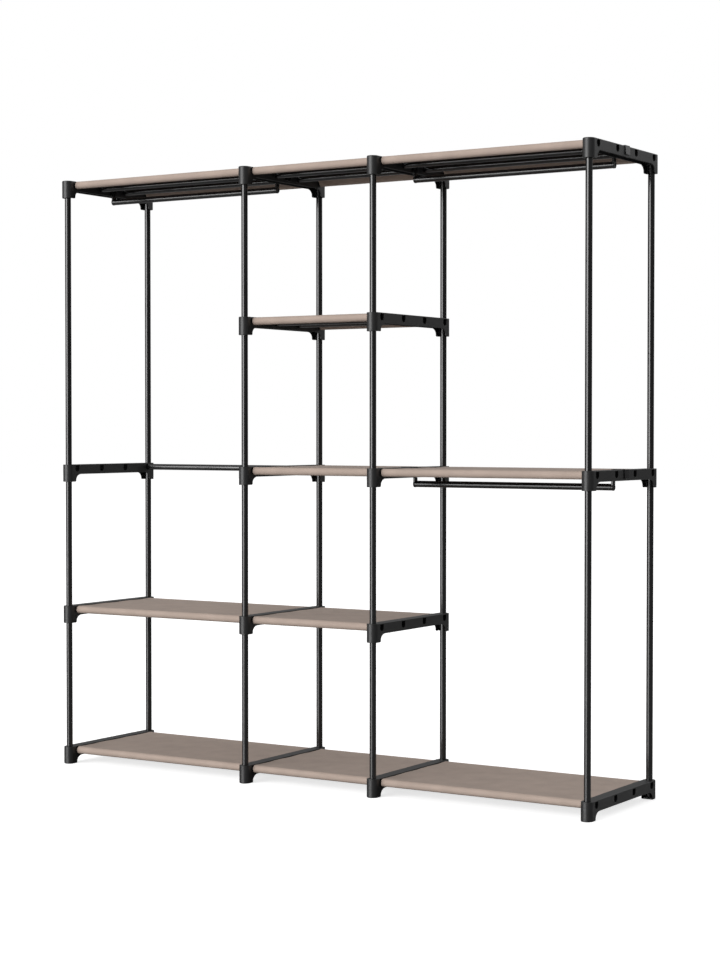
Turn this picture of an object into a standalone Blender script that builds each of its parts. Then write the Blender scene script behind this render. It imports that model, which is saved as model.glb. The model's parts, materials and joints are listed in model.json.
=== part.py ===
"""Free-standing open wardrobe: moulded side brackets, steel tubes, cloth shelves and lift-off hanging rails.

Units are metres. The floor is Z = 0, the front faces -Y, and the origin is on the floor at the middle.
Three bays stand side by side between four frames. A frame is a front and a rear post joined by brackets.
Tubes that meet end to end inside a bracket are modelled as one tube.
"""
import math

import bmesh
import bpy
from mathutils import Matrix

# Overall frame
HEIGHT = 1.820          # floor to the top of the top brackets
DEPTH = 0.400           # front post axis to rear post axis
SIDE_BAY = 0.6745       # left and right bays, from frame to frame
CENTRE_BAY = 0.4450     # centre bay, from frame to frame
PLAY = 0.0003           # gap between pieces that touch

# Tubes
TUBE_RADIUS = 0.0095
TUBE_BEVEL_RESOLUTION = 3

# Side bracket: two collars on the posts, joined by a beam that is open below
COLLAR_WALL = 0.0077    # outside the post bore
COLLAR_HEIGHT = 0.0535
LEG_WALL = 0.0062       # from the post bore to the leg's inner face
SLEEVE_WALL = 0.0025    # between the post bore and the slots in the leg's inner face
BEAM_HEIGHT = 0.030
BEAM_WALL = 0.003       # side walls and roof of the beam
BOSS_WALL = 0.002       # round a rod socket inside the beam
SOCKET_ROOF = 0.0027    # above a rod socket
SOCKET_SPACER = 0.0014  # between a post bore and the first rod socket
RODS_PER_SHELF = 4
BOSS_STEPS = 4          # sides of a boss's round underside
RIB_THICKNESS = 0.0025  # rib down the middle of each leg's inner face
GUSSET_LENGTH = 0.024
GUSSET_HEIGHT = 0.0135
GUSSET_STEPS = 4
CAP = 0.004             # closed top of a top bracket and closed foot of a base bracket
EDGE_ROUND = 0.0025     # rim of a top bracket's top and of a base bracket's foot
END_STEPS = 8           # sides of a bracket's half-round end

# Cloth shelf
CLOTH = 0.001
CLOTH_SLEEVE = 0.0015   # sleeve round the front and rear rods
CLOTH_END_GAP = 0.0004  # from the cloth's end to a hook beside it
SLEEVE_STEPS = 10

# Hanging rail: a rod between two hooks that saddle the brackets' beams
HOOK_WIDTH = 0.031
HOOK_PLATE = 0.003
HOOK_TAB_DROP = 0.0245  # bracket top to the tip of the outer tab
HOOK_TAB_ROUND = 0.004
ARM_WIDTH = 0.014
ARM_THICKNESS = 0.006
ARM_SETBACK = 0.0005    # the arm's back stands this far in front of the saddle's back
ARM_OVERLAP = 0.0015    # the arm starts this far above the inner plate's lower edge
HANG_CLEARANCE = 0.009  # beam underside to the hanging rod
DISC_RIM = 0.0005       # the hook's disc stands proud of the rod by this much
DISC_STEPS = 10

# Worked out from the values above
BORE_RADIUS = TUBE_RADIUS + PLAY
BOSS_RADIUS = BORE_RADIUS + BOSS_WALL
HALF_WIDTH = BORE_RADIUS + COLLAR_WALL
HALF_DEPTH = DEPTH / 2
SOCKET_DROP = SOCKET_ROOF + BORE_RADIUS
SOCKET_INSET = 2 * BORE_RADIUS + SOCKET_SPACER
OUTER_ROW = HALF_DEPTH - SOCKET_INSET
ROD_ROWS = [-OUTER_ROW + i * 2 * OUTER_ROW / (RODS_PER_SHELF - 1) for i in range(RODS_PER_SHELF)]
LEG_FACE = HALF_DEPTH - BORE_RADIUS - LEG_WALL
SLOT_FACE = HALF_DEPTH - BORE_RADIUS - SLEEVE_WALL
PLATE_BACK = HALF_WIDTH + PLAY
PLATE_FRONT = PLATE_BACK + HOOK_PLATE
ARM_MIDDLE = PLATE_BACK + ARM_SETBACK + ARM_THICKNESS / 2
HANG_DROP = BEAM_HEIGHT + HANG_CLEARANCE + TUBE_RADIUS
ROUND_SIDES = 4 + 2 * TUBE_BEVEL_RESOLUTION
BEYOND = 0.01           # how far a cutter runs past what it cuts

# What each frame and each bay holds
LEVELS = ("top", "upper", "middle", "lower", "base")
LEVEL_PITCH = (HEIGHT - COLLAR_HEIGHT) / (len(LEVELS) - 1)
FRAME_X = {
    "left_end": -CENTRE_BAY / 2 - SIDE_BAY,
    "left_inner": -CENTRE_BAY / 2,
    "right_inner": CENTRE_BAY / 2,
    "right_end": CENTRE_BAY / 2 + SIDE_BAY,
}
FRAME_LEVELS = {
    "left_end": ("top", "middle", "lower", "base"),
    "left_inner": LEVELS,
    "right_inner": LEVELS,
    "right_end": ("top", "middle", "base"),
}
BAY_FRAMES = {
    "left": ("left_end", "left_inner"),
    "centre": ("left_inner", "right_inner"),
    "right": ("right_inner", "right_end"),
}
SHELF_LEVELS = {
    "left": ("top", "lower", "base"),
    "centre": LEVELS,
    "right": ("top", "middle", "base"),
}
HANGING_RAILS = (("left", "top"), ("right", "top"), ("right", "middle"))
POST_ROWS = {"front": -HALF_DEPTH, "rear": HALF_DEPTH}
ROD_NAMES = ("front", "inner_front", "inner_rear", "rear")
ROD_SPANS = {
    "top": ("left_end", "right_end"),
    "upper": ("left_inner", "right_inner"),
    "middle": ("left_inner", "right_end"),
    "lower": ("left_end", "right_inner"),
    "base": ("left_end", "right_end"),
}
LONG_REAR_ROD = ("middle", "rear", "left_end")  # this rod runs on through the left bay, with no cloth on it

# Turns of a flat outline: its X to the rear and its Y up, or its X to the right and its Y up
SIDE_ON = Matrix(((0, 0, 1, 0), (1, 0, 0, 0), (0, 1, 0, 0), (0, 0, 0, 1)))
FACE_ON = Matrix(((1, 0, 0, 0), (0, 0, -1, 0), (0, 1, 0, 0), (0, 0, 0, 1)))


def new_collection(name):
    collection = bpy.data.collections.new(name)
    bpy.context.scene.collection.children.link(collection)
    return collection


for old in list(bpy.data.objects):
    bpy.data.objects.remove(old)
PARTS = new_collection("tube_and_cloth_wardrobe")
GUIDES = new_collection("blanks_and_cutters")


def principled(name, color, roughness, metallic=0.0):
    material = bpy.data.materials.new(name)
    material.use_nodes = True
    shader = material.node_tree.nodes["Principled BSDF"]
    shader.inputs["Base Color"].default_value = (*color, 1.0)
    shader.inputs["Roughness"].default_value = roughness
    shader.inputs["Metallic"].default_value = metallic
    return material


BLACK_STEEL = principled("black_steel", (0.022, 0.022, 0.024), 0.32, 0.4)
BLACK_MOULDING = principled("black_moulding", (0.028, 0.028, 0.029), 0.48)
TAUPE_CLOTH = principled("taupe_cloth", (0.29, 0.24, 0.21), 0.85)


def add_part(name, data, material, location):
    """Place one named piece and give it its material."""
    obj = bpy.data.objects.new(name, data)
    obj.location = location
    if not data.materials:
        data.materials.append(material)
    PARTS.objects.link(obj)


def add_guide(name, data):
    """Place a blank or a cutter, which is no part of the object."""
    obj = bpy.data.objects.new(name, data)
    obj.hide_render = True
    obj.display_type = 'WIRE'
    GUIDES.objects.link(obj)
    return obj


def tube_curve(name, runs, radius):
    """Straight round tubes, one for each pair of end points."""
    curve = bpy.data.curves.new(name, 'CURVE')
    curve.dimensions = '3D'
    curve.bevel_depth = radius
    curve.bevel_resolution = TUBE_BEVEL_RESOLUTION
    curve.use_fill_caps = True
    for start, end in runs:
        spline = curve.splines.new('POLY')
        spline.points.add(1)
        spline.points[0].co = (*start, 1)
        spline.points[1].co = (*end, 1)
    return curve


def outline_curve(name, loops, half_thickness, rim=0.0):
    """A flat outline with its holes, given a thickness and, if asked, rounded rims."""
    curve = bpy.data.curves.new(name, 'CURVE')
    curve.dimensions = '2D'
    curve.fill_mode = 'BOTH'
    curve.extrude = half_thickness - rim
    curve.bevel_depth = rim
    curve.bevel_resolution = 1
    curve.offset = -rim
    for loop in loops:
        spline = curve.splines.new('POLY')
        spline.points.add(len(loop) - 1)
        for point, (x, y) in zip(spline.points, loop):
            point.co = (x, y, 0, 1)
        spline.use_cyclic_u = True
    return curve


def arc(centre, radius, first, last, steps):
    """Points of an arc with both its ends, from one angle in degrees to another."""
    angles = [math.radians(first + (last - first) * i / steps) for i in range(steps + 1)]
    return [(centre[0] + radius * math.cos(a), centre[1] + radius * math.sin(a)) for a in angles]


def evaluated_mesh(obj):
    bpy.context.view_layer.update()
    return bpy.data.meshes.new_from_object(obj.evaluated_get(bpy.context.evaluated_depsgraph_get()))


def curve_guide(name, curve, placing=Matrix()):
    """A guide with the closed mesh of a curve, whose loose caps are welded."""
    source = add_guide(name, curve)
    mesh = evaluated_mesh(source)
    bpy.data.objects.remove(source)
    bpy.data.curves.remove(curve)
    edit = bmesh.new()
    edit.from_mesh(mesh)
    bmesh.ops.remove_doubles(edit, verts=edit.verts, dist=0.000001)
    bmesh.ops.recalc_face_normals(edit, faces=edit.faces)
    edit.to_mesh(mesh)
    edit.free()
    mesh.transform(placing)
    mesh.name = name
    return add_guide(name, mesh)


def box_guide(name, boxes):
    """A guide of one or more boxes, each given by its lowest and highest corners."""
    edit = bmesh.new()
    for low, high in boxes:
        size = [h - l for l, h in zip(low, high)]
        middle = [(l + h) / 2 for l, h in zip(low, high)]
        bmesh.ops.create_cube(edit, size=1, matrix=Matrix.LocRotScale(middle, None, size))
    mesh = bpy.data.meshes.new(name)
    edit.to_mesh(mesh)
    edit.free()
    return add_guide(name, mesh)


def combine(target, operation, tool):
    modifier = target.modifiers.new(tool.name, 'BOOLEAN')
    modifier.operation = operation
    modifier.solver = 'EXACT'
    modifier.object = tool


def finished_mesh(blank, name):
    """The mesh that a blank's modifiers give, shaded smooth over its round faces."""
    mesh = evaluated_mesh(blank)
    mesh.name = name
    mesh.shade_smooth()
    mesh.set_sharp_from_angle(angle=math.radians(35))
    return mesh


def bracket_side(top, bottom):
    """Side outline of a bracket, run past the rounded ends that the plan gives it."""
    gusset_end = LEG_FACE - GUSSET_LENGTH
    gusset_foot = -BEAM_HEIGHT - GUSSET_HEIGHT
    unit_arc = arc((0, 0), 1, 0, 90, GUSSET_STEPS)
    rear_gusset = [(gusset_end + GUSSET_LENGTH * x, gusset_foot + GUSSET_HEIGHT * y) for x, y in unit_arc]
    rear = [(HALF_DEPTH + HALF_WIDTH + BEYOND, top), (HALF_DEPTH + HALF_WIDTH + BEYOND, bottom)]
    rear += [(LEG_FACE, bottom)] + rear_gusset
    return rear + [(-y, z) for y, z in reversed(rear)]


def bracket_plan():
    """Plan of a bracket: straight sides and a half-round end on each post."""
    rear = arc((0, HALF_DEPTH), HALF_WIDTH, 0, 180, END_STEPS)
    front = arc((0, -HALF_DEPTH), HALF_WIDTH, 180, 360, END_STEPS)
    return rear + front


def socket_runs(half_length):
    return [((-half_length, y, -SOCKET_DROP), (half_length, y, -SOCKET_DROP)) for y in ROD_ROWS]


def boss_outline(y):
    """A boss round a rod socket: straight sides under the roof and a round underside."""
    return arc((y, -SOCKET_DROP), BOSS_RADIUS, 180, 360, BOSS_STEPS) + [(y + BOSS_RADIUS, 0), (y - BOSS_RADIUS, 0)]


def hollow_guide(kind):
    """What the moulding leaves open under the roof, around the bosses and the legs' ribs."""
    inside = HALF_WIDTH - BEAM_WALL
    low = -COLLAR_HEIGHT - BEYOND
    hollow = box_guide(kind + "_hollow", [((-inside, -SLOT_FACE, low), (inside, SLOT_FACE, -BEAM_WALL))])
    bosses = outline_curve(kind + "_bosses", [boss_outline(y) for y in ROD_ROWS], HALF_WIDTH)
    combine(hollow, 'DIFFERENCE', curve_guide(kind + "_bosses", bosses, SIDE_ON))
    rib_top = -SOCKET_DROP - BORE_RADIUS - BOSS_WALL / 2
    ribs = []
    for near, far in ((-SLOT_FACE - BEYOND, -LEG_FACE), (LEG_FACE, SLOT_FACE + BEYOND)):
        ribs.append(((-RIB_THICKNESS / 2, near, low - BEYOND), (RIB_THICKNESS / 2, far, rib_top)))
    combine(hollow, 'DIFFERENCE', box_guide(kind + "_ribs", ribs))
    return hollow


def bore_heights(kind):
    """Lowest and highest point of each post bore, below the bracket's top."""
    low = CAP - COLLAR_HEIGHT if kind == "base" else -COLLAR_HEIGHT - BEYOND
    high = -CAP if kind == "top" else BEYOND
    return low, high


def bracket_mesh(kind):
    """A side bracket: the top one has a closed top, the base one a closed foot, the middle one neither."""
    top = BEYOND if kind == "top" else 0
    bottom = -COLLAR_HEIGHT - (BEYOND if kind == "base" else 0)
    side = outline_curve(kind + "_blank", [bracket_side(top, bottom)], HALF_WIDTH + BEYOND)
    blank = curve_guide(kind + "_blank", side, SIDE_ON)

    plan_top = 0 if kind == "top" else BEYOND
    plan_bottom = -COLLAR_HEIGHT - (0 if kind == "base" else BEYOND)
    rim = 0 if kind == "middle" else EDGE_ROUND
    plan = outline_curve(kind + "_plan", [bracket_plan()], (plan_top - plan_bottom) / 2, rim)
    placing = Matrix.Translation((0, 0, (plan_top + plan_bottom) / 2))
    combine(blank, 'INTERSECT', curve_guide(kind + "_plan", plan, placing))

    combine(blank, 'DIFFERENCE', hollow_guide(kind))
    sockets = tube_curve(kind + "_sockets", socket_runs(HALF_WIDTH + BEYOND), BORE_RADIUS)
    combine(blank, 'DIFFERENCE', curve_guide(kind + "_sockets", sockets))
    low, high = bore_heights(kind)
    bores = [((0, y, low), (0, y, high)) for y in POST_ROWS.values()]
    combine(blank, 'DIFFERENCE', curve_guide(kind + "_bores", tube_curve(kind + "_bores", bores, BORE_RADIUS)))
    return finished_mesh(blank, kind + "_bracket")


def bracket_kind(level):
    return level if level in ("top", "base") else "middle"


def level_top(level):
    """Height of the bracket tops at a level."""
    return HEIGHT - LEVELS.index(level) * LEVEL_PITCH


def make_brackets():
    meshes = {kind: bracket_mesh(kind) for kind in ("top", "middle", "base")}
    for frame, levels in FRAME_LEVELS.items():
        for level in levels:
            place = (FRAME_X[frame], 0, level_top(level))
            add_part(f"bracket_{frame}_{level}", meshes[bracket_kind(level)], BLACK_MOULDING, place)


def make_posts():
    """Each post stands on the closed foot of its base bracket and ends under the top bracket's cap."""
    low = level_top("base") - COLLAR_HEIGHT + CAP + PLAY
    high = level_top("top") - CAP - PLAY
    post = tube_curve("post", [((0, 0, low), (0, 0, high))], TUBE_RADIUS)
    for frame, x in FRAME_X.items():
        for row, y in POST_ROWS.items():
            add_part(f"post_{frame}_{row}", post, BLACK_STEEL, (x, y, 0))


def bay_length(bay):
    left, right = BAY_FRAMES[bay]
    return FRAME_X[right] - FRAME_X[left]


def bay_middle(bay):
    left, right = BAY_FRAMES[bay]
    return (FRAME_X[right] + FRAME_X[left]) / 2


def make_rods():
    """Four rods at each level, from the middle of one bracket to the middle of another."""
    for level, span in ROD_SPANS.items():
        for row, y in zip(ROD_NAMES, ROD_ROWS):
            start, end = span
            if (level, row) == LONG_REAR_ROD[:2]:
                start = LONG_REAR_ROD[2]
            name = f"rod_{level}_{row}"
            rod = tube_curve(name, [((FRAME_X[start], 0, 0), (FRAME_X[end], 0, 0))], TUBE_RADIUS)
            add_part(name, rod, BLACK_STEEL, (0, y, level_top(level) - SOCKET_DROP))


def cloth_outline():
    """Section of a cloth shelf about the rods' axes: a sleeve at each edge and a sheet over all four rods."""
    sleeve = BORE_RADIUS + CLOTH_SLEEVE
    under = math.degrees(math.asin(BORE_RADIUS / sleeve))
    over = math.degrees(math.asin((BORE_RADIUS + CLOTH) / sleeve))
    front = arc((-OUTER_ROW, 0), sleeve, over, 360 + under, SLEEVE_STEPS)
    rear = arc((OUTER_ROW, 0), sleeve, 180 - under, 540 - over, SLEEVE_STEPS)
    holes = [arc((y, 0), BORE_RADIUS, 0, 360, ROUND_SIDES)[:-1] for y in (-OUTER_ROW, OUTER_ROW)]
    return [front + rear] + holes


def make_cloths():
    for bay, levels in SHELF_LEVELS.items():
        half = bay_length(bay) / 2 - PLATE_FRONT - CLOTH_END_GAP
        guide = curve_guide(f"cloth_{bay}", outline_curve(f"cloth_{bay}", cloth_outline(), half), SIDE_ON)
        mesh = finished_mesh(guide, f"cloth_{bay}")
        for level in levels:
            place = (bay_middle(bay), 0, level_top(level) - SOCKET_DROP)
            add_part(f"cloth_{bay}_{level}", mesh, TAUPE_CLOTH, place)


def round_tab_corners(guide, tip):
    """Round the two lower corners of a saddle's outer tab."""
    edit = bmesh.new()
    edit.from_mesh(guide.data)
    corners = []
    for edge in edit.edges:
        ends = [vert.co for vert in edge.verts]
        at_tip = all(abs(co.z - tip) < PLAY and co.x < 0 for co in ends)
        if at_tip and abs(ends[0].y - ends[1].y) < PLAY:
            corners.append(edge)
    bmesh.ops.bevel(edit, geom=corners, offset=HOOK_TAB_ROUND, segments=2, profile=0.5, affect='EDGES')
    edit.to_mesh(guide.data)
    edit.free()


def hook_mesh(name):
    """A hook about the frame's plane and the rod's axis, with the bay towards +X."""
    top = HANG_DROP + PLAY
    tab_tip = HANG_DROP - HOOK_TAB_DROP
    beam_foot = HANG_DROP - BEAM_HEIGHT
    saddle = [
        (-PLATE_FRONT, tab_tip), (-PLATE_BACK, tab_tip), (-PLATE_BACK, top), (PLATE_BACK, top),
        (PLATE_BACK, beam_foot), (PLATE_FRONT, beam_foot),
        (PLATE_FRONT, top + HOOK_PLATE), (-PLATE_FRONT, top + HOOK_PLATE),
    ]
    blank = curve_guide(name, outline_curve(name, [saddle], HOOK_WIDTH / 2), FACE_ON)
    round_tab_corners(blank, tab_tip)

    disc = TUBE_RADIUS + DISC_RIM
    neck = math.degrees(math.acos(ARM_WIDTH / 2 / disc))
    arm_top = beam_foot + ARM_OVERLAP
    arm_outline = arc((0, 0), disc, 180 - neck, 360 + neck, DISC_STEPS)
    arm_outline += [(ARM_WIDTH / 2, arm_top), (-ARM_WIDTH / 2, arm_top)]
    arm = outline_curve(name + "_arm", [arm_outline], ARM_THICKNESS / 2)
    placing = Matrix.Translation((ARM_MIDDLE, 0, 0)) @ SIDE_ON
    combine(blank, 'UNION', curve_guide(name + "_arm", arm, placing))
    return finished_mesh(blank, name)


def hanging_rail_mesh(hook, length):
    """A rod with a hook at each end, for frames this far apart, about the rod's middle."""
    rod_half = length / 2 - ARM_MIDDLE
    rod = tube_curve("hanging_rod", [((-rod_half, 0, 0), (rod_half, 0, 0))], TUBE_RADIUS)
    blank = curve_guide("hanging_rod", rod)
    for x, turn in ((-length / 2, 0.0), (length / 2, math.pi)):
        end = add_guide("hanging_rod_hook", hook)
        end.location.x = x
        end.rotation_euler.z = turn
        combine(blank, 'UNION', end)
    return finished_mesh(blank, "hanging_rail")


def make_hanging_rails():
    """Each rail lifts straight up off its two brackets."""
    hook = hook_mesh("hook")
    for bay, level in HANGING_RAILS:
        place = (bay_middle(bay), 0, level_top(level) - HANG_DROP)
        add_part(f"hanging_rail_{bay}_{level}", hanging_rail_mesh(hook, bay_length(bay)), BLACK_STEEL, place)


make_brackets()
make_posts()
make_rods()
make_cloths()
make_hanging_rails()
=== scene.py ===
"""Looks of a free-standing open wardrobe: moulded brackets, coated tubes, cloth and hanging rods.

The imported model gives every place. Units are metres, the floor is Z = 0 and the front faces -Y.
Each bracket, tube, cloth and hook of the real object is a piece here, built finer than its CAD
solid.
"""
import json
import math

import bmesh
import bpy
from mathutils import Matrix, Vector, noise

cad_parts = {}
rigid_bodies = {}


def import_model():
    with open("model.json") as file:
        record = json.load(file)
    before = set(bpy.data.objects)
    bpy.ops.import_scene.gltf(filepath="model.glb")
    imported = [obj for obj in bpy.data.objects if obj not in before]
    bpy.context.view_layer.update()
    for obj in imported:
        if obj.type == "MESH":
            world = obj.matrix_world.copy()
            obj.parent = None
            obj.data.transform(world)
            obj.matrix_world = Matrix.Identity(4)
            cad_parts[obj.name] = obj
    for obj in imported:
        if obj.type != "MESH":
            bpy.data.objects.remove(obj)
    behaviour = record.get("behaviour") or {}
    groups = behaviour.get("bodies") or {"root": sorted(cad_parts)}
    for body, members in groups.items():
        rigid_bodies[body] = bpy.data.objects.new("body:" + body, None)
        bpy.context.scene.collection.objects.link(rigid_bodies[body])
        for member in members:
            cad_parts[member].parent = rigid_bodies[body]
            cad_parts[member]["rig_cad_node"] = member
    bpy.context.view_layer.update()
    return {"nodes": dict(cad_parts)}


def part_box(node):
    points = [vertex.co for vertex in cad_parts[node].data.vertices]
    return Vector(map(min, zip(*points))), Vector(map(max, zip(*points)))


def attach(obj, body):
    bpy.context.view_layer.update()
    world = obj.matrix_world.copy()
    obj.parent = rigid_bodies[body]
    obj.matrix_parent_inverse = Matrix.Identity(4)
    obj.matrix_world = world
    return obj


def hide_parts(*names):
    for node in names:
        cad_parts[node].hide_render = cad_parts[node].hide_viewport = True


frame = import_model()

# Camera, fitted to the posts and brackets in the photograph
CAMERA_PLACE = (3.289, -5.136, 1.050)
CAMERA_YAW = 0.5622
CAMERA_DIP = 0.0252
CAMERA_LENS = 76.85
CAMERA_SENSOR = 36

# Lamps: azimuth, elevation, distance, width, height, radiance
OBJECT_MIDDLE = Vector((0, 0, 0.9))
LAMPS = {
    "front_softbox": (-20, 14.2, 30.0, 25.4, 17.0, 6.9),
    "rear_softbox": (152, 21.5, 30.0, 23.0, 11.5, 0.9),
}

# Floor and room
FLOOR_SIZE = 60
FLOOR_SEEN_BY_OBJECT = (0.22, 0.22, 0.22)
FLOOR_IN_REFLECTIONS = (0.36, 0.36, 0.36)
FLOOR_SEEN_BY_CAMERA = (0.8, 0.8, 0.8)
FLOOR_GLOW = 0.72
FLOOR_GLOSS = 0.12      # roughness for rays from the object, so that low tubes see the lamp in it
FLOOR_MATT = 0.9        # roughness for the camera
ROOM_LEVELS = ((0.0, 0.1), (0.12, 0.17), (0.35, 0.38), (1.0, 0.57))  # sine of elevation, level

# Materials: a noise is its cells a metre, detail and roughness, and bump heights are in metres
UNEVEN = (0.3, 0.7)     # the noise between these gives a material's two colours
BUMP_STRENGTH = 0.5
STEEL_DARK = (0.0055, 0.0055, 0.006)
STEEL_LIGHT = (0.0085, 0.0085, 0.009)
STEEL_ROUGHNESS = (0.17, 0.21)
STEEL_IOR = 1.6
STEEL_PATCHES = (14, 3)
PEEL = (260, 2)
PEEL_HEIGHT = 0.00001
PLASTIC_DARK = (0.0105, 0.0105, 0.011)
PLASTIC_LIGHT = (0.0145, 0.0145, 0.015)
PLASTIC_IOR = 1.54
PLASTIC_PATCHES = (22, 4)
SMOOTHER, ROUGHER = 0.04, 0.05  # how far the moulding's roughness strays from its middle
GRAIN = (1600, 3, 0.6)
GRAIN_HEIGHT = 0.000015
GRAIN_STRENGTH = 0.6
BRACKET_ROUGHNESS = 0.43
HOOK_ROUGHNESS = 0.2
CLOTH_DARK = (0.390, 0.312, 0.266)
CLOTH_LIGHT = (0.448, 0.358, 0.306)
CLOTH_UNEVEN = (0.35, 0.65)
CLOTH_ROUGHNESS = 0.85
CLOTH_SHEEN = 0.05
SHEEN_ROUGHNESS = 0.5
CLOTH_SPECULAR = 0.1
CLOUDS = (18, 4, 0.55)
FIBRES = (700, 4, 0.7)
FIBRE_STRETCH = (1, 0.25, 1)
FIBRE_SHARE = 0.35      # of the colour's unevenness; the clouds give the rest
FIBRE_HEIGHT = 0.00012
DOT_SCALE = 520
DOT_DISORDER = 0.15
DOT_EDGE = (0.15, 0.4)
DOT_DEPTH = 0.00015

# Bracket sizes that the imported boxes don't give
PLAY = 0.0003
LEG_WALL = 0.0062
SLEEVE_WALL = 0.0025
BEAM_HEIGHT = 0.030
BEAM_WALL = 0.003
BOSS_WALL = 0.002
GUSSET_LENGTH = 0.024
GUSSET_HEIGHT = 0.018
LEG_ROUND = 0.0045      # the corner at a leg's foot, on the side of the arch
LEG_ROUND_ANGLES = (260, 180)   # the point at 270 degrees belongs to the foot
LEG_SKIN = 0.0022
POCKET_SHORT = 0.0005   # a leg is open to this far from its post's axis
CAP = 0.004
CORNER_ROUND = 0.0025   # rim of a top bracket's top and of a base bracket's foot
EDGE_ROUND = 0.0008     # every other outer edge of the moulding
MOUTH_CHAMFER = 0.0005  # round the rod sockets and post bores
SOCKET_CORNER = 0.0002  # a socket's flat crown is this much narrower than its round on each side
MOULDING_SHARP = 35     # degrees: an edge that turns by more isn't shaded smooth
ROUND_STEPS = 40        # sides of a full circle
GUSSET_STEPS = 16
BOSS_STEPS = 16
LEG_STEPS = 6
RIM_STEPS = 3

# Tubes
TUBE_WALL = 0.0005
TUBE_LIP = 0.0002
TUBE_SHARP = 30
JOINT_GAP = 0.002       # between tubes that meet inside a bracket

# Cloth
CLOTH = 0.0008
LAYER_GAP = 0.0001      # between two layers sewn together
SLEEVE_RADIUS = 0.0109  # middle of the cloth round a rod
SHEET_LIFT = 0.0104     # middle of the sheet above the rods' axes
SEAM_BACK = 0.0175      # from a rod's axis to the seam that closes its sleeve
FLAP = 0.007            # cloth left beyond the seam
FLAP_BEND = 0.65        # share of the flap at which its line has a point
FOLD_ROUND = 0.002      # how much of the seam's fold is curved
FOLD_STEPS = 5
ROLL_STEPS = 22
ROLL_BLEND = 0.012      # over this distance the sheet leaves the roll
NEAR_STEP, NEAR_STEPS = 0.003, 10   # points of the sheet close to the roll
FAR_STEP = 0.0085       # and beyond them
HEM = 0.006             # the side edges are folded under and sewn
HEM_THICKER = 0.0005
HEM_RIM = ((0, 0.35), (0.0001, 0.7), (0.0004, 1), (0.003, 1))   # distance in, share of thickness
HEM_EDGE = 0.0004       # the hem ends over twice this length
CLOTH_STEP = 0.008
CLOTH_SHARP = 60
CLOTH_SEEDS_APART = 11
REAR_ROLL_SEED = 7

# Unevenness of the cloth: a length is that of one cell of noise
SAG = 0.0009            # of the sheet between two rods
SAG_CELL = (0.15, 0.1)
SAG_UNEVEN = 0.5
WAVE = 0.0004           # long slow unevenness of the sheet
WAVE_CELL = (0.09, 0.07)
WAVE_SEED = 20
PUCKER = 0.0003         # ripples that the seam draws into the cloth
PUCKER_CELL = (0.010, 0.03)
PUCKER_REACH = 0.009
ROLL_WAVE = 0.0002      # unevenness of a roll
ROLL_SLOW = (0.06, 1.2, 40)     # cell along the roll, cells across its round, seed
ROLL_FINE = (0.013, 1.5, 60)
ROLL_FINE_SHARE = 0.35

# Hooks and hanging rods
HOOK_WIDTH = 0.0275
HOOK_PLATE = 0.003
HOOK_SADDLE = 0.0012    # its thickness over the bracket
HOOK_DRAFT = 0.001      # the tab is this much thinner at its top
HOOK_TAB_DROP = 0.0245
HOOK_TAB_ROUND = 0.004
HOOK_SHOULDER = 0.0014  # round of the saddle's upper edges
HOOK_TIP_SHARE = 0.6    # of half its thickness rounds a plate's lower edges
HOOK_EDGE = 0.0006      # a known fault: at half of HOOK_SADDLE the rounds meet and tear the mesh
TIP_STEPS = 3
SHOULDER_STEPS = 5
TAB_STEPS = 8
ARM_WIDTH = 0.0165
ARM_THICKNESS = 0.006
ARM_SETBACK = 0.0005
ARM_OVERLAP = 0.0015
ARM_SLOPE = 0.004       # the arm's top falls by this, so that the lifted rod clears the cloth
DISC_RIM = 0.0005
DISC_EDGE = 0.0011
DISC_STEPS = 30
RECESS_RADIUS = 0.0064
RECESS_DEPTH = 0.0012
RECESS_TAPER = 0.0003
HANGING_WALL = 0.0010
ROD_SEAT = 0.0001       # a hanging rod ends this far inside the hook's face

BAYS = {
    "left": ("left_end", "left_inner"),
    "centre": ("left_inner", "right_inner"),
    "right": ("right_inner", "right_end"),
}
FRAMES = ("left_end", "left_inner", "right_inner", "right_end")
LEVELS = ("top", "upper", "middle", "lower", "base")
KINDS = ("top", "middle", "base")
ROD_ROWS = ("front", "inner_front", "inner_rear", "rear")

BEYOND = 0.01           # how far a cutter runs past what it cuts
SIDE_ON = Matrix(((0, 0, 1, 0), (1, 0, 0, 0), (0, 1, 0, 0), (0, 0, 0, 1)))
FACE_ON = Matrix(((1, 0, 0, 0), (0, 0, -1, 0), (0, 1, 0, 0), (0, 0, 0, 1)))
ALONG_X = (0, math.pi / 2, 0)


def corners(node):
    low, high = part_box(node)
    return low, high, (low + high) / 2


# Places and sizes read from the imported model
NODES = frame["nodes"]
BRACKETS = {
    (frame_name, level): f"bracket_{frame_name}_{level}"
    for frame_name in FRAMES for level in LEVELS if f"bracket_{frame_name}_{level}" in NODES
}
bracket_low, bracket_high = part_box(BRACKETS["left_inner", "middle"])
post_low, post_high, post_middle = corners("post_left_inner_front")
TUBE_RADIUS = (post_high.x - post_low.x) / 2
BORE_RADIUS = TUBE_RADIUS + PLAY
HALF_WIDTH = (bracket_high.x - bracket_low.x) / 2
HALF_DEPTH = -post_middle.y
COLLAR_HEIGHT = bracket_high.z - bracket_low.z
SOCKET_DROP = bracket_high.z - corners("rod_middle_front")[2].z
ROD_Y = [corners(f"rod_middle_{row}")[2].y for row in ROD_ROWS]
LEG_FACE = HALF_DEPTH - BORE_RADIUS - LEG_WALL
SLOT_FACE = HALF_DEPTH - BORE_RADIUS - SLEEVE_WALL
FRAME_X = {name: corners(f"post_{name}_front")[2].x for name in FRAMES}
LEVEL_TOP = {level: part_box(BRACKETS["left_inner", level])[1].z for level in LEVELS}


# Materials

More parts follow.
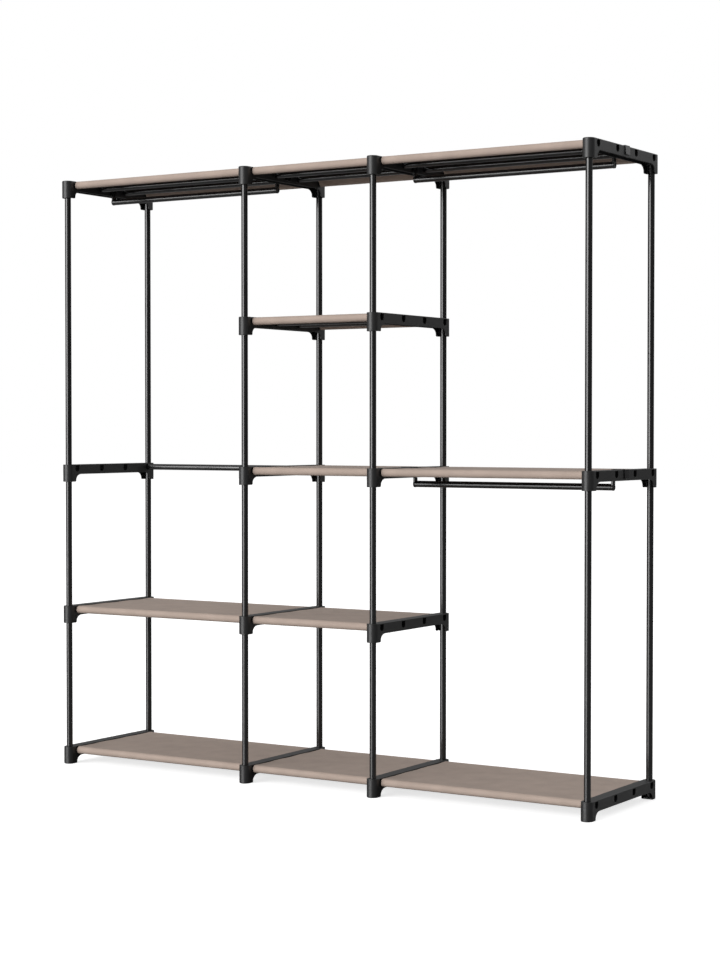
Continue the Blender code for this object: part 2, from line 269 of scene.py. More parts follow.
def new_material(name):
    material = bpy.data.materials.new(name)
    material.use_nodes = True
    tree = material.node_tree
    shader = tree.nodes["Principled BSDF"]
    place = tree.nodes.new("ShaderNodeTexCoord")
    return material, tree, shader, place.outputs["Object"]


def noise_texture(tree, place, scale, detail, roughness=0.5, stretch=(1, 1, 1)):
    """A noise factor at this many cells a metre, stretched along the axes."""
    mapping = tree.nodes.new("ShaderNodeMapping")
    mapping.inputs["Scale"].default_value = stretch
    tree.links.new(place, mapping.inputs["Vector"])
    grain = tree.nodes.new("ShaderNodeTexNoise")
    grain.inputs["Scale"].default_value = scale
    grain.inputs["Detail"].default_value = detail
    grain.inputs["Roughness"].default_value = roughness
    tree.links.new(mapping.outputs["Vector"], grain.inputs["Vector"])
    return grain.outputs["Fac"]


def ramp(tree, factor, span, dark, light):
    """Colours from dark to light as the factor crosses the span."""
    node = tree.nodes.new("ShaderNodeValToRGB")
    for element, position, colour in zip(node.color_ramp.elements, span, (dark, light)):
        element.position = position
        element.color = (*colour, 1)
    tree.links.new(factor, node.inputs["Fac"])
    return node.outputs["Color"]


def spread(tree, factor, low, high):
    """The factor, from 0 to 1, mapped to a range."""
    node = tree.nodes.new("ShaderNodeMapRange")
    node.inputs["To Min"].default_value = low
    node.inputs["To Max"].default_value = high
    tree.links.new(factor, node.inputs["Value"])
    return node.outputs["Result"]


def bump(tree, shader, height, distance, strength=BUMP_STRENGTH, under=None):
    node = tree.nodes.new("ShaderNodeBump")
    node.inputs["Distance"].default_value = distance
    node.inputs["Strength"].default_value = strength
    tree.links.new(height, node.inputs["Height"])
    if under:
        tree.links.new(under, node.inputs["Normal"])
    tree.links.new(node.outputs["Normal"], shader.inputs["Normal"])
    return node.outputs["Normal"]


def scaled(tree, factor, share):
    node = tree.nodes.new("ShaderNodeMath")
    node.operation = 'MULTIPLY'
    node.inputs[1].default_value = share
    tree.links.new(factor, node.inputs[0])
    return node.outputs["Value"]


def coated_steel():
    """Black powder coat: a faint orange peel, and slightly uneven gloss."""
    material, tree, shader, place = new_material("black_powder_coat")
    patches = noise_texture(tree, place, *STEEL_PATCHES)
    colour = ramp(tree, patches, UNEVEN, STEEL_DARK, STEEL_LIGHT)
    tree.links.new(colour, shader.inputs["Base Color"])
    tree.links.new(spread(tree, patches, *STEEL_ROUGHNESS), shader.inputs["Roughness"])
    shader.inputs["IOR"].default_value = STEEL_IOR
    peel = noise_texture(tree, place, *PEEL)
    bump(tree, shader, peel, PEEL_HEIGHT)
    return material


def moulding(name, roughness):
    """Black satin moulding with a fine spark-eroded grain."""
    material, tree, shader, place = new_material(name)
    patches = noise_texture(tree, place, *PLASTIC_PATCHES)
    colour = ramp(tree, patches, UNEVEN, PLASTIC_DARK, PLASTIC_LIGHT)
    tree.links.new(colour, shader.inputs["Base Color"])
    gloss = spread(tree, patches, roughness - SMOOTHER, roughness + ROUGHER)
    tree.links.new(gloss, shader.inputs["Roughness"])
    shader.inputs["IOR"].default_value = PLASTIC_IOR
    grain = noise_texture(tree, place, *GRAIN)
    bump(tree, shader, grain, GRAIN_HEIGHT, GRAIN_STRENGTH)
    return material


def nonwoven_cloth():
    """Taupe spunbonded cloth: matted fibres with rows of small pressed dots."""
    material, tree, shader, place = new_material("taupe_nonwoven")
    clouds = noise_texture(tree, place, *CLOUDS)
    fibres = noise_texture(tree, place, *FIBRES, FIBRE_STRETCH)
    blend = tree.nodes.new("ShaderNodeMath")
    blend.operation = 'MULTIPLY_ADD'
    blend.inputs[1].default_value = FIBRE_SHARE
    tree.links.new(fibres, blend.inputs[0])
    tree.links.new(scaled(tree, clouds, 1 - FIBRE_SHARE), blend.inputs[2])
    colour = ramp(tree, blend.outputs[0], CLOTH_UNEVEN, CLOTH_DARK, CLOTH_LIGHT)
    tree.links.new(colour, shader.inputs["Base Color"])
    shader.inputs["Roughness"].default_value = CLOTH_ROUGHNESS
    shader.inputs["Sheen Weight"].default_value = CLOTH_SHEEN
    shader.inputs["Sheen Roughness"].default_value = SHEEN_ROUGHNESS
    shader.inputs["Specular IOR Level"].default_value = CLOTH_SPECULAR
    felt = bump(tree, shader, fibres, FIBRE_HEIGHT)
    dots = tree.nodes.new("ShaderNodeTexVoronoi")
    dots.inputs["Scale"].default_value = DOT_SCALE
    dots.inputs["Randomness"].default_value = DOT_DISORDER
    tree.links.new(place, dots.inputs["Vector"])
    pressed = tree.nodes.new("ShaderNodeMapRange")
    pressed.inputs["From Min"].default_value = DOT_EDGE[0]
    pressed.inputs["From Max"].default_value = DOT_EDGE[1]
    tree.links.new(dots.outputs["Distance"], pressed.inputs["Value"])
    bump(tree, shader, pressed.outputs["Result"], DOT_DEPTH, under=felt)
    return material


STEEL = coated_steel()
PLASTIC = moulding("black_satin_moulding", BRACKET_ROUGHNESS)
HOOK_PLASTIC = moulding("glossy_black_moulding", HOOK_ROUGHNESS)
FABRIC = nonwoven_cloth()


# Mesh tools

def arc(centre, radius, first, last, steps):
    """Points of an arc with both its ends, from one angle in degrees to another."""
    angles = [math.radians(first + (last - first) * i / steps) for i in range(steps + 1)]
    return [(centre[0] + radius * math.cos(a), centre[1] + radius * math.sin(a)) for a in angles]


def mesh_from(edit, name):
    mesh = bpy.data.meshes.new(name)
    edit.to_mesh(mesh)
    edit.free()
    return mesh


def helper(edit, name):
    """A blank or a cutter, hidden from the render and removed at the end."""
    obj = bpy.data.objects.new(name, mesh_from(edit, name))
    obj.hide_render = True
    bpy.context.scene.collection.objects.link(obj)
    return obj


def prism(name, outline, low, high, rim_low=0.0, rim_high=0.0, placing=Matrix()):
    """An outline extruded along Z, with its two rims rounded by their own radii."""
    edit = bmesh.new()
    face = edit.faces.new([edit.verts.new((x, y, low)) for x, y in outline])
    risen = bmesh.ops.extrude_face_region(edit, geom=[face])
    for vert in risen["geom"]:
        if isinstance(vert, bmesh.types.BMVert):
            vert.co.z = high
    for height, radius in ((low, rim_low), (high, rim_high)):
        if radius:
            rim = [e for e in edit.edges if all(abs(v.co.z - height) < 1e-6 for v in e.verts)]
            bmesh.ops.bevel(edit, geom=rim, offset=radius, segments=RIM_STEPS, profile=0.5,
                            affect='EDGES')
    bmesh.ops.recalc_face_normals(edit, faces=edit.faces)
    edit.transform(placing)
    return helper(edit, name)


def boxes(name, spans):
    """Boxes from their low corners to their high corners, in one helper."""
    edit = bmesh.new()
    for low, high in spans:
        size = [h - l for l, h in zip(low, high)]
        middle = [(l + h) / 2 for l, h in zip(low, high)]
        bmesh.ops.create_cube(edit, size=1, matrix=Matrix.LocRotScale(middle, None, size))
    return helper(edit, name)


def ring(edit, radius, height, placing=Matrix()):
    angles = [2 * math.pi * i / ROUND_STEPS for i in range(ROUND_STEPS)]
    return [
        edit.verts.new(placing @ Vector((radius * math.cos(a), radius * math.sin(a), height)))
        for a in angles
    ]


def join_rings(edit, rings):
    for first, second in zip(rings, rings[1:]):
        for i in range(len(first)):
            j = (i + 1) % len(first)
            edit.faces.new((first[i], first[j], second[j], second[i]))


def turned(name, profiles, placings):
    """Closed turned solids about Z: each profile lists (radius, height) from bottom to top."""
    edit = bmesh.new()
    for profile, placing in zip(profiles, placings):
        rings = [ring(edit, radius, height, placing) for radius, height in profile]
        join_rings(edit, rings)
        edit.faces.new(list(reversed(rings[0])))
        edit.faces.new(rings[-1])
    bmesh.ops.recalc_face_normals(edit, faces=edit.faces)
    return helper(edit, name)


def combine(target, operation, tool):
    modifier = target.modifiers.new(tool.name, 'BOOLEAN')
    modifier.operation = operation
    modifier.solver = 'EXACT'
    modifier.object = tool


def smoothed(mesh, angle):
    """The mesh, smooth but for its edges that turn by more than this many degrees."""
    mesh.shade_smooth()
    mesh.set_sharp_from_angle(angle=math.radians(angle))
    return mesh


def finished(blank, name):
    """The mesh that a blank's modifiers give, smooth over its round faces."""
    bpy.context.view_layer.update()
    evaluated = blank.evaluated_get(bpy.context.evaluated_depsgraph_get())
    mesh = bpy.data.meshes.new_from_object(evaluated)
    mesh.name = name
    return smoothed(mesh, MOULDING_SHARP)


def remove_helpers():
    for obj in list(bpy.context.scene.objects):
        if obj.hide_render and "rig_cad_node" not in obj and obj.type == 'MESH':
            bpy.data.objects.remove(obj)


def place_piece(name, mesh, material, body, nodes, location=(0, 0, 0), turn=(0, 0, 0)):
    """Adds one piece of the object, which rides on its body and stands for its nodes."""
    piece = bpy.data.objects.new(name, mesh)
    piece.location = location
    piece.rotation_euler = turn
    if not mesh.materials:
        mesh.materials.append(material)
    bpy.context.scene.collection.objects.link(piece)
    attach(piece, body)
    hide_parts(*nodes)
    flat = piece.modifiers.new("flat_faces", 'WEIGHTED_NORMAL')
    flat.keep_sharp = True
    return piece


# Brackets

def bracket_side(top, bottom):
    """Side outline of a bracket, run past the rounded ends that the plan gives it."""
    gusset_end = LEG_FACE - GUSSET_LENGTH
    gusset_foot = -BEAM_HEIGHT - GUSSET_HEIGHT
    unit = arc((0, 0), 1, 0, 90, GUSSET_STEPS)
    beyond = HALF_DEPTH + HALF_WIDTH + BEYOND
    round_middle = (LEG_FACE + LEG_ROUND, LEG_ROUND - COLLAR_HEIGHT)
    rear = [(beyond, top), (beyond, bottom), (LEG_FACE + LEG_ROUND, bottom)]
    rear += arc(round_middle, LEG_ROUND, *LEG_ROUND_ANGLES, LEG_STEPS)
    rear += [(gusset_end + GUSSET_LENGTH * x, gusset_foot + GUSSET_HEIGHT * y) for x, y in unit]
    return rear + [(-y, z) for y, z in reversed(rear)]


def bracket_plan():
    steps = ROUND_STEPS // 2
    rear = arc((0, HALF_DEPTH), HALF_WIDTH, 0, 180, steps)
    return rear + arc((0, -HALF_DEPTH), HALF_WIDTH, 180, 360, steps)


def hollow(kind):
    """What the moulding leaves open: the beam below its roof, and each leg up to its post."""
    beam_side = HALF_WIDTH - BEAM_WALL
    low = -COLLAR_HEIGHT - BEYOND
    beam = ((-beam_side, -SLOT_FACE, low), (beam_side, SLOT_FACE, -BEAM_WALL))
    space = boxes(kind + "_hollow", [beam])
    radius = BORE_RADIUS + BOSS_WALL
    for i, y in enumerate(ROD_Y):
        outline = arc((y, -SOCKET_DROP), radius, 180, 360, BOSS_STEPS)
        outline += [(y + radius, 0), (y - radius, 0)]
        boss = prism(f"{kind}_boss_{i}", outline, -HALF_WIDTH, HALF_WIDTH, placing=SIDE_ON)
        combine(space, 'DIFFERENCE', boss)
    foot = CAP - COLLAR_HEIGHT if kind == "base" else low
    leg_side = HALF_WIDTH - LEG_SKIN
    pockets = []
    for side in (-1, 1):
        ends = sorted((side * (LEG_FACE - GUSSET_LENGTH), side * (HALF_DEPTH - POCKET_SHORT)))
        pockets.append(((-leg_side, ends[0], foot), (leg_side, ends[1], -BEAM_HEIGHT)))
    combine(space, 'UNION', boxes(kind + "_pockets", pockets))
    return space


def bore_profile(low, high, mouth_low, mouth_high):
    """A bore from low to high, flared where it comes out at a mouth."""
    wide = BORE_RADIUS + MOUTH_CHAMFER + BEYOND
    profile = [(BORE_RADIUS, low)]
    if mouth_low is not None:
        profile = [(wide, mouth_low - BEYOND), (BORE_RADIUS, mouth_low + MOUTH_CHAMFER)]
    if mouth_high is not None:
        return profile + [(BORE_RADIUS, mouth_high - MOUTH_CHAMFER), (wide, mouth_high + BEYOND)]
    return profile + [(BORE_RADIUS, high)]


def socket_crowns():
    """The boxes that make the rod sockets flat under the beam's roof."""
    across, side = HALF_WIDTH + BEYOND, BORE_RADIUS - SOCKET_CORNER
    return [
        ((-across, y - side, -SOCKET_DROP), (across, y + side, BORE_RADIUS - SOCKET_DROP))
        for y in ROD_Y
    ]


def bracket_mesh(kind):
    """A side bracket: the top one has a closed top, and the base one a closed foot."""
    bottom = -COLLAR_HEIGHT - (BEYOND if kind == "base" else 0)
    blank = prism(kind + "_blank", bracket_side(BEYOND, bottom), -HALF_WIDTH, HALF_WIDTH,
                  EDGE_ROUND, EDGE_ROUND, SIDE_ON)
    rim_low = CORNER_ROUND if kind == "base" else EDGE_ROUND
    rim_high = CORNER_ROUND if kind == "top" else EDGE_ROUND
    plan = prism(kind + "_plan", bracket_plan(), -COLLAR_HEIGHT, 0, rim_low, rim_high)
    combine(blank, 'INTERSECT', plan)
    combine(blank, 'DIFFERENCE', hollow(kind))
    socket = bore_profile(0, 0, -HALF_WIDTH, HALF_WIDTH)
    across = Matrix.Rotation(math.pi / 2, 4, 'Y')
    placings = [Matrix.Translation((0, y, -SOCKET_DROP)) @ across for y in ROD_Y]
    sockets = turned(kind + "_sockets", [socket] * len(ROD_Y), placings)
    combine(blank, 'DIFFERENCE', sockets)
    combine(blank, 'DIFFERENCE', boxes(kind + "_crowns", socket_crowns()))
    low, mouth_low = (CAP - COLLAR_HEIGHT, None) if kind == "base" else (0, -COLLAR_HEIGHT)
    high, mouth_high = (-CAP, None) if kind == "top" else (0, 0)
    bore = bore_profile(low, high, mouth_low, mouth_high)
    placings = [Matrix.Translation((0, y, 0)) for y in (-HALF_DEPTH, HALF_DEPTH)]
    combine(blank, 'DIFFERENCE', turned(kind + "_bores", [bore] * 2, placings))
    return finished(blank, kind + "_bracket")


def dress_brackets():
    meshes = {kind: bracket_mesh(kind) for kind in KINDS}
    for (frame_name, level), node in BRACKETS.items():
        mesh = meshes[level if level in KINDS else "middle"]
        place = (FRAME_X[frame_name], 0, LEVEL_TOP[level])
        place_piece(f"moulded_{node}", mesh, PLASTIC, "frame", [node], place)


# Tubes

def tube_mesh(name, length, wall=TUBE_WALL):
    """A hollow tube along Z from 0, with its end edges broken."""
    outer, inner = TUBE_RADIUS, TUBE_RADIUS - wall
    section = [
        (outer - TUBE_LIP, 0), (outer, TUBE_LIP), (outer, length - TUBE_LIP),
        (outer - TUBE_LIP, length), (inner, length), (inner, 0),
    ]
    edit = bmesh.new()
    rings = [ring(edit, radius, height) for radius, height in section]
    join_rings(edit, rings + rings[:1])
    bmesh.ops.recalc_face_normals(edit, faces=edit.faces)
    return smoothed(mesh_from(edit, name), TUBE_SHARP)


tube_meshes = {}


def shared_tube(length):
    key = round(length, 5)
    if key not in tube_meshes:
        tube_meshes[key] = tube_mesh(f"tube_{int(round(key * 1000))}", length)
    return tube_meshes[key]


def dress_posts():
    """One tube for each real one, joined inside the collars."""
    for frame_name in FRAMES:
        levels = [level for level in reversed(LEVELS) if (frame_name, level) in BRACKETS]
        joints = [LEVEL_TOP[level] - COLLAR_HEIGHT / 2 for level in levels[1:-1]]
        for row in ("front", "rear"):
            node = f"post_{frame_name}_{row}"
            low, high, middle = corners(node)
            starts = [low.z] + [z + JOINT_GAP / 2 for z in joints]
            ends = [z - JOINT_GAP / 2 for z in joints] + [high.z]
            for i, (start, end) in enumerate(zip(starts, ends), 1):
                place_piece(f"{node}_tube_{i}", shared_tube(end - start), STEEL, "frame",
                            [node], (middle.x, middle.y, start))


def dress_rods():
    """One rod for each bay that a packed rod runs through."""
    for level in LEVELS:
        for row in ROD_ROWS:
            node = f"rod_{level}_{row}"
            low, high, middle = corners(node)
            for bay, (left, right) in BAYS.items():
                if FRAME_X[left] < low.x - PLAY or FRAME_X[right] > high.x + PLAY:
                    continue
                start, end = FRAME_X[left] + JOINT_GAP / 2, FRAME_X[right] - JOINT_GAP / 2
                place_piece(f"rod_{bay}_{level}_{row}_tube", shared_tube(end - start), STEEL,
                            "frame", [node], (start, middle.y, middle.z), ALONG_X)


# Cloth shelves

def sleeve_section():
    """Middle line of an edge's cloth, from the flap's end round the rod to the rod's top.

    Each point is how far it lies from the rod's axis towards the shelf's middle, how high it is
    above the axis, and whether it moves with the sheet (1) or with the roll (0).
    """
    low = SHEET_LIFT - CLOTH - LAYER_GAP
    seam = Vector((SEAM_BACK, low))
    leave = math.atan2(low, SEAM_BACK) - math.acos(SLEEVE_RADIUS / math.hypot(SEAM_BACK, low))
    contact = Vector((SLEEVE_RADIUS * math.cos(leave), SLEEVE_RADIUS * math.sin(leave)))
    fold_start = seam + Vector((FOLD_ROUND, 0))
    fold_end = seam + (contact - seam).normalized() * FOLD_ROUND
    points = [(SEAM_BACK + FLAP, low, 1), (SEAM_BACK + FLAP * FLAP_BEND, low, 1)]
    for i in range(FOLD_STEPS + 1):
        t = i / FOLD_STEPS
        bend = fold_start * (1 - t) ** 2 + seam * 2 * t * (1 - t) + fold_end * t ** 2
        points.append((bend.x, bend.y, 1))
    for i in range(1, FOLD_STEPS):
        t = i / FOLD_STEPS
        slope = fold_end.lerp(contact, t)
        points.append((slope.x, slope.y, (1 - t) ** 2))
    roll = arc((0, 0), SLEEVE_RADIUS, math.degrees(leave), -270, ROLL_STEPS)
    return points + [(y, z, 0) for y, z in roll]


def eased(t):
    t = min(max(t, 0), 1)
    return t * t * (3 - 2 * t)


def sheet_section():
    """Middle line of the sheet from just behind a roll's top to the shelf's middle."""
    half = (ROD_Y[-1] - ROD_Y[0]) / 2
    back = [NEAR_STEP * i for i in range(1, NEAR_STEPS + 1)]
    steps = round((half - back[-1]) / FAR_STEP)
    back += [back[-1] + (half - back[-1]) * i / steps for i in range(1, steps + 1)]
    points = []
    for y in back:
        share = eased(y / ROLL_BLEND)
        points.append((y, SLEEVE_RADIUS + (SHEET_LIFT - SLEEVE_RADIUS) * share, share))
    return points


def cloth_section():
    """The whole middle line from the front flap to the rear flap, with each point's share."""
    edge = sleeve_section() + sheet_section()
    front = [(ROD_Y[0] + y, z, share) for y, z, share in edge]
    return front + [(-y, z, share) for y, z, share in reversed(front[:-1])]


def sheet_shift(x, y, seed):
    """How far the sheet stands above its plain height: it sags, and is drawn in at its seams."""
    along = min(max((y - ROD_Y[0]) / (ROD_Y[-1] - ROD_Y[0]), 0), 1) * (len(ROD_Y) - 1)
    sag = math.sin(math.pi * (along % 1)) ** 2
    uneven = 1 + SAG_UNEVEN * noise.noise(Vector((x / SAG_CELL[0], y / SAG_CELL[1], seed)))
    to_seam = abs(abs(y) - (ROD_Y[-1] - SEAM_BACK))
    ripple = noise.noise(Vector((x / PUCKER_CELL[0], seed, y / PUCKER_CELL[1])))
    ripple *= math.exp(-(to_seam / PUCKER_REACH) ** 2)
    wave = noise.noise(Vector((x / WAVE_CELL[0], y / WAVE_CELL[1], seed + WAVE_SEED)))
    return -SAG * sag * uneven + PUCKER * ripple + WAVE * wave * sag


def roll_noise(x, angle, seed, kind):
    cell, turns, own_seed = kind
    across, up = turns * math.cos(angle), turns * math.sin(angle)
    return noise.noise(Vector((x / cell, across, seed + up + own_seed)))


def roll_shift(x, y, z, seed):
    """How far the roll stands out past its plain radius."""
    angle = math.atan2(z, y)
    slow = roll_noise(x, angle, seed, ROLL_SLOW)
    return ROLL_WAVE * (slow + ROLL_FINE_SHARE * roll_noise(x, angle, seed, ROLL_FINE))


def cloth_stations(length):
    """Places along the cloth and its thickness there: a hem with a rounded rim at both ends."""
    half = length / 2
    hemmed = CLOTH + HEM_THICKER
    end = [(half - inset, share * hemmed) for inset, share in HEM_RIM]
    end += [(half - HEM + HEM_EDGE, hemmed), (half - HEM - HEM_EDGE, CLOTH)]
    steps = round((length - 2 * HEM) / CLOTH_STEP)
    inner = half - HEM - HEM_EDGE
    middle = [(-inner + 2 * inner * i / steps, CLOTH) for i in range(1, steps)]
    return [(-x, thickness) for x, thickness in end] + middle + list(reversed(end))


def cloth_mesh(name, length, seed):
    """A closed shell round the cloth's middle line."""
    section = cloth_section()
    count = len(section)
    normals = []
    for i in range(count):
        before, after = section[max(i - 1, 0)], section[min(i + 1, count - 1)]
        run = Vector((after[0] - before[0], after[1] - before[1])).normalized()
        normals.append(Vector((run.y, -run.x)))
    edit = bmesh.new()
    rings = []
    for x, thickness in cloth_stations(length):
        middle = []
        for y, z, share in section:
            rise = sheet_shift(x, y, seed) * share
            axis = ROD_Y[0] if y < 0 else ROD_Y[-1]
            roll_seed = seed + (REAR_ROLL_SEED if y > 0 else 0)
            push = roll_shift(x, y - axis, z, roll_seed) * (1 - share)
            middle.append(Vector((y, z + rise)) + Vector((y - axis, z)).normalized() * push)
        around = []
        for side in (1, -1):
            for point, normal in zip(middle, normals):
                place = point - normal * side * thickness / 2
                around.append(edit.verts.new((x, place.x, place.y)))
        rings.append(around[:count] + list(reversed(around[count:])))
    join_rings(edit, rings)
    for end in (rings[0], rings[-1]):
        for i in range(count - 1):
            edit.faces.new((end[i], end[i + 1], end[-2 - i], end[-1 - i]))
    bmesh.ops.recalc_face_normals(edit, faces=edit.faces)
    return smoothed(mesh_from(edit, name), CLOTH_SHARP)


def cut_width():
    """Flat width of a cloth: the length of its middle line from flap to flap."""
    line = [Vector((y, z)) for y, z, _ in cloth_section()]
    return sum((b - a).length for a, b in zip(line, line[1:]))


def dress_cloths():
    seed = 0
    for bay in BAYS:
        for level in LEVELS:
            node = f"cloth_{bay}_{level}"
            if node not in NODES:
                continue
            low, high, middle = corners(node)
            length = high.x - low.x
            seed += CLOTH_SEEDS_APART
            mesh = cloth_mesh(f"{node}_sheet", length, seed)
            piece = place_piece(f"{node}_sheet", mesh, FABRIC, "frame", [node],
                                (middle.x, 0, LEVEL_TOP[level] - SOCKET_DROP))
            flat = (cut_width(), length + 2 * HEM)


# Hooks and hanging rods

def saddle_outline(back, front, top, tip, foot):
    """Front view of a hook's saddle: a tab down the outside, and a plate down the bay's side."""
    tip_round = HOOK_PLATE / 2 * HOOK_TIP_SHARE
    crown = top + HOOK_SADDLE - HOOK_SHOULDER
    draft = -front + HOOK_DRAFT + HOOK_SHOULDER
    outline = arc((-front + tip_round, tip + tip_round), tip_round, 180, 270, TIP_STEPS)
    outline += arc((-back - tip_round, tip + tip_round), tip_round, 270, 360, TIP_STEPS)
    outline += [(-back, top), (back, top)]
    outline += arc((back + tip_round, foot + tip_round), tip_round, 180, 270, TIP_STEPS)
    outline += arc((front - tip_round, foot + tip_round), tip_round, 270, 360, TIP_STEPS)
    outline += arc((front - HOOK_SHOULDER, crown), HOOK_SHOULDER, 0, 90, SHOULDER_STEPS)
    return outline + arc((draft, crown), HOOK_SHOULDER, 90, 180, SHOULDER_STEPS)


def hook_keep(back, front, top, tip, foot):
    """What a hook may fill, seen from the side: its tab has round corners."""
    half, over = HOOK_WIDTH / 2, HOOK_WIDTH / 2 + BEYOND
    corner = tip + HOOK_TAB_ROUND
    tab = arc((-half + HOOK_TAB_ROUND, corner), HOOK_TAB_ROUND, 180, 270, TAB_STEPS)
    tab += arc((half - HOOK_TAB_ROUND, corner), HOOK_TAB_ROUND, 270, 360, TAB_STEPS)
    tab += [(over, foot + HOOK_PLATE), (over, top + BEYOND), (-over, top + BEYOND),
            (-over, foot + HOOK_PLATE)]
    rest = [(-over, -BEYOND), (over, -BEYOND), (over, top + BEYOND), (-over, top + BEYOND)]
    keep = prism("hook_tab", tab, -front - BEYOND, -back + PLAY, placing=SIDE_ON)
    combine(keep, 'UNION', prism("hook_rest", rest, -back, front + BEYOND, placing=SIDE_ON))
    return keep


def hook_arm(near, front, foot):
    """The arm down to the disc that carries the rod's end."""
    disc = TUBE_RADIUS + DISC_RIM
    neck = math.degrees(math.acos(ARM_WIDTH / 2 / disc))
    outline = arc((0, 0), disc, 180 - neck, 360 + neck, DISC_STEPS)
    outline += [(ARM_WIDTH / 2, foot + ARM_OVERLAP), (-ARM_WIDTH / 2, foot + ARM_OVERLAP)]
    arm = prism("hook_arm", outline, near, near + ARM_THICKNESS, DISC_EDGE, DISC_EDGE, SIDE_ON)
    far, over = near + ARM_THICKNESS + BEYOND, foot + ARM_OVERLAP + BEYOND
    slope = [(front, foot), (far, foot - ARM_SLOPE), (far, over), (front, over)]
    wedge = prism("hook_shoulder", slope, -ARM_WIDTH, ARM_WIDTH, placing=FACE_ON)
    combine(arm, 'DIFFERENCE', wedge)
    return arm


def hook_mesh(axis_drop):
    """A hook about the frame's plane and the rod's axis, with its bay towards +X.

    axis_drop is the height of the bracket's top above the rod's axis.
    """
    back, front = HALF_WIDTH + PLAY, HALF_WIDTH + PLAY + HOOK_PLATE
    top = axis_drop + PLAY
    tip, foot = axis_drop - HOOK_TAB_DROP, axis_drop - BEAM_HEIGHT
    near = back + ARM_SETBACK
    saddle = saddle_outline(back, front, top, tip, foot)
    blank = prism("hook", saddle, -HOOK_WIDTH / 2, HOOK_WIDTH / 2, HOOK_EDGE, HOOK_EDGE, FACE_ON)
    combine(blank, 'INTERSECT', hook_keep(back, front, top, tip, foot))
    combine(blank, 'UNION', hook_arm(near, front, foot))
    recess = [
        (RECESS_RADIUS + BEYOND, -BEYOND), (RECESS_RADIUS, RECESS_TAPER),
        (RECESS_RADIUS - RECESS_TAPER, RECESS_DEPTH),
    ]
    placing = Matrix.Translation((near, 0, 0)) @ Matrix.Rotation(math.pi / 2, 4, 'Y')
    combine(blank, 'DIFFERENCE', turned("hook_recess", [recess], [placing]))
    return finished(blank, "hook")


def dress_hanging_rails():
    rails = [(bay, level) for bay in BAYS for level in LEVELS
             if f"hanging_rail_{bay}_{level}" in NODES]
    hook = None
    for bay, level in rails:
        node = f"hanging_rail_{bay}_{level}"
        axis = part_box(node)[0].z + TUBE_RADIUS + DISC_RIM
        hook = hook or hook_mesh(LEVEL_TOP[level] - axis)
        body = f"rail_{bay}_{level}"
        left, right = (FRAME_X[name] for name in BAYS[bay])
        place_piece(f"hook_{bay}_{level}_left", hook, HOOK_PLASTIC, body, [node],
                    (left, 0, axis))
        place_piece(f"hook_{bay}_{level}_right", hook, HOOK_PLASTIC, body, [node],
                    (right, 0, axis), (0, 0, math.pi))
        start = HALF_WIDTH + PLAY + ARM_SETBACK + ARM_THICKNESS - ROD_SEAT
        rod = tube_mesh(f"hanging_rod_{bay}_{level}", right - left - 2 * start, HANGING_WALL)
        place_piece(f"hanging_rod_{bay}_{level}", rod, STEEL, body, [node],
                    (left + start, 0, axis), ALONG_X)


# Camera, light and floor

def make_camera():
    camera = bpy.data.objects.new("camera", bpy.data.cameras.new("camera"))
    camera.data.lens = CAMERA_LENS
    camera.data.sensor_width = CAMERA_SENSOR
    camera.location = CAMERA_PLACE
    camera.rotation_euler = (math.pi / 2 - CAMERA_DIP, 0, CAMERA_YAW)
    bpy.context.scene.collection.objects.link(camera)
    bpy.context.scene.camera = camera


def softbox(name, azimuth, elevation, distance, width, height, radiance):
    """A soft rectangular lamp that faces the object. Azimuth is 0 in front and grows rightwards."""
    turn, rise = math.radians(azimuth), math.radians(elevation)
    level = math.cos(rise)
    away = Vector((math.sin(turn) * level, -math.cos(turn) * level, math.sin(rise)))
    light = bpy.data.lights.new(name, 'AREA')
    light.shape = 'RECTANGLE'
    light.size = width
    light.size_y = height
    light.energy = math.pi * width * height * radiance
    lamp = bpy.data.objects.new(name, light)
    lamp.location = OBJECT_MIDDLE + away * distance
    lamp.rotation_euler = away.to_track_quat('Z', 'Y').to_euler()
    lamp.visible_camera = False
    bpy.context.scene.collection.objects.link(lamp)


def colour_switch(tree, switch, colour):
    """A mix that gives this colour where the switch is 1."""
    mix = tree.nodes.new("ShaderNodeMix")
    mix.data_type = 'RGBA'
    mix.inputs["B"].default_value = (*colour, 1)
    tree.links.new(switch, mix.inputs["Factor"])
    return mix


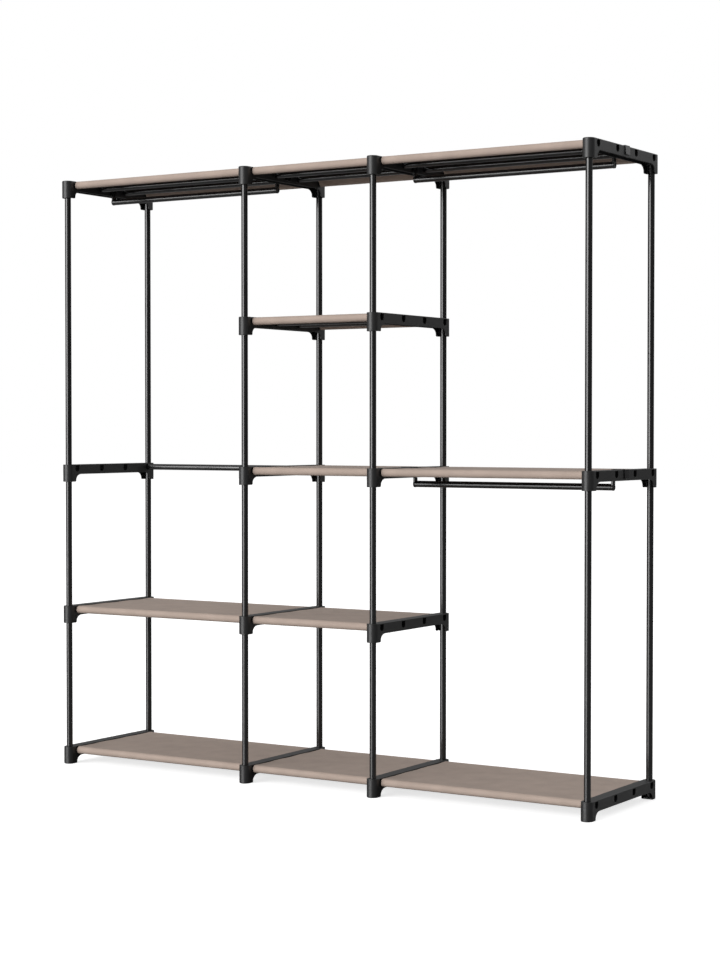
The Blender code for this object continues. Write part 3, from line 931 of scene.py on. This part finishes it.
def make_floor():
    """A pale floor: white with a faint shadow for the camera, and dimmer for the object."""
    bpy.ops.mesh.primitive_plane_add(size=FLOOR_SIZE, location=(0, 0, 0))
    floor = bpy.context.object
    floor.name = "floor"
    material = bpy.data.materials.new("pale_floor")
    material.use_nodes = True
    tree = material.node_tree
    shader = tree.nodes["Principled BSDF"]
    rays = tree.nodes.new("ShaderNodeLightPath")
    from_camera = rays.outputs["Is Camera Ray"]
    gloss = spread(tree, from_camera, FLOOR_GLOSS, FLOOR_MATT)
    tree.links.new(gloss, shader.inputs["Roughness"])
    mirrored = colour_switch(tree, rays.outputs["Is Glossy Ray"], FLOOR_IN_REFLECTIONS)
    mirrored.inputs["A"].default_value = (*FLOOR_SEEN_BY_OBJECT, 1)
    seen = colour_switch(tree, from_camera, FLOOR_SEEN_BY_CAMERA)
    tree.links.new(mirrored.outputs["Result"], seen.inputs["A"])
    tree.links.new(seen.outputs["Result"], shader.inputs["Base Color"])
    shader.inputs["Emission Color"].default_value = (1, 1, 1, 1)
    tree.links.new(scaled(tree, from_camera, FLOOR_GLOW), shader.inputs["Emission Strength"])
    floor.data.materials.append(material)


def make_studio():
    """A white background for the camera, and for the object a dim room, lighter overhead."""
    world = bpy.data.worlds.new("studio")
    world.use_nodes = True
    tree = world.node_tree
    room = tree.nodes["Background"]
    place = tree.nodes.new("ShaderNodeTexCoord")
    split = tree.nodes.new("ShaderNodeSeparateXYZ")
    tree.links.new(place.outputs["Generated"], split.inputs["Vector"])
    shade = tree.nodes.new("ShaderNodeValToRGB")
    elements = shade.color_ramp.elements
    for position, _ in ROOM_LEVELS[1:-1]:
        elements.new(position)
    for element, (position, level) in zip(elements, ROOM_LEVELS):
        element.position = position
        element.color = (level, level, level, 1)
    tree.links.new(split.outputs["Z"], shade.inputs["Fac"])
    tree.links.new(shade.outputs["Color"], room.inputs["Color"])
    rays = tree.nodes.new("ShaderNodeLightPath")
    seen = tree.nodes.new("ShaderNodeBackground")
    seen.inputs["Color"].default_value = (1, 1, 1, 1)
    mix = tree.nodes.new("ShaderNodeMixShader")
    tree.links.new(rays.outputs["Is Camera Ray"], mix.inputs["Fac"])
    tree.links.new(room.outputs["Background"], mix.inputs[1])
    tree.links.new(seen.outputs["Background"], mix.inputs[2])
    tree.links.new(mix.outputs["Shader"], tree.nodes["World Output"].inputs["Surface"])
    bpy.context.scene.world = world


make_camera()
make_floor()
make_studio()
for lamp_name, lamp_values in LAMPS.items():
    softbox(lamp_name, *lamp_values)
bpy.context.scene.view_settings.view_transform = 'Standard'

dress_brackets()
dress_posts()
dress_rods()
dress_cloths()
dress_hanging_rails()
remove_helpers()
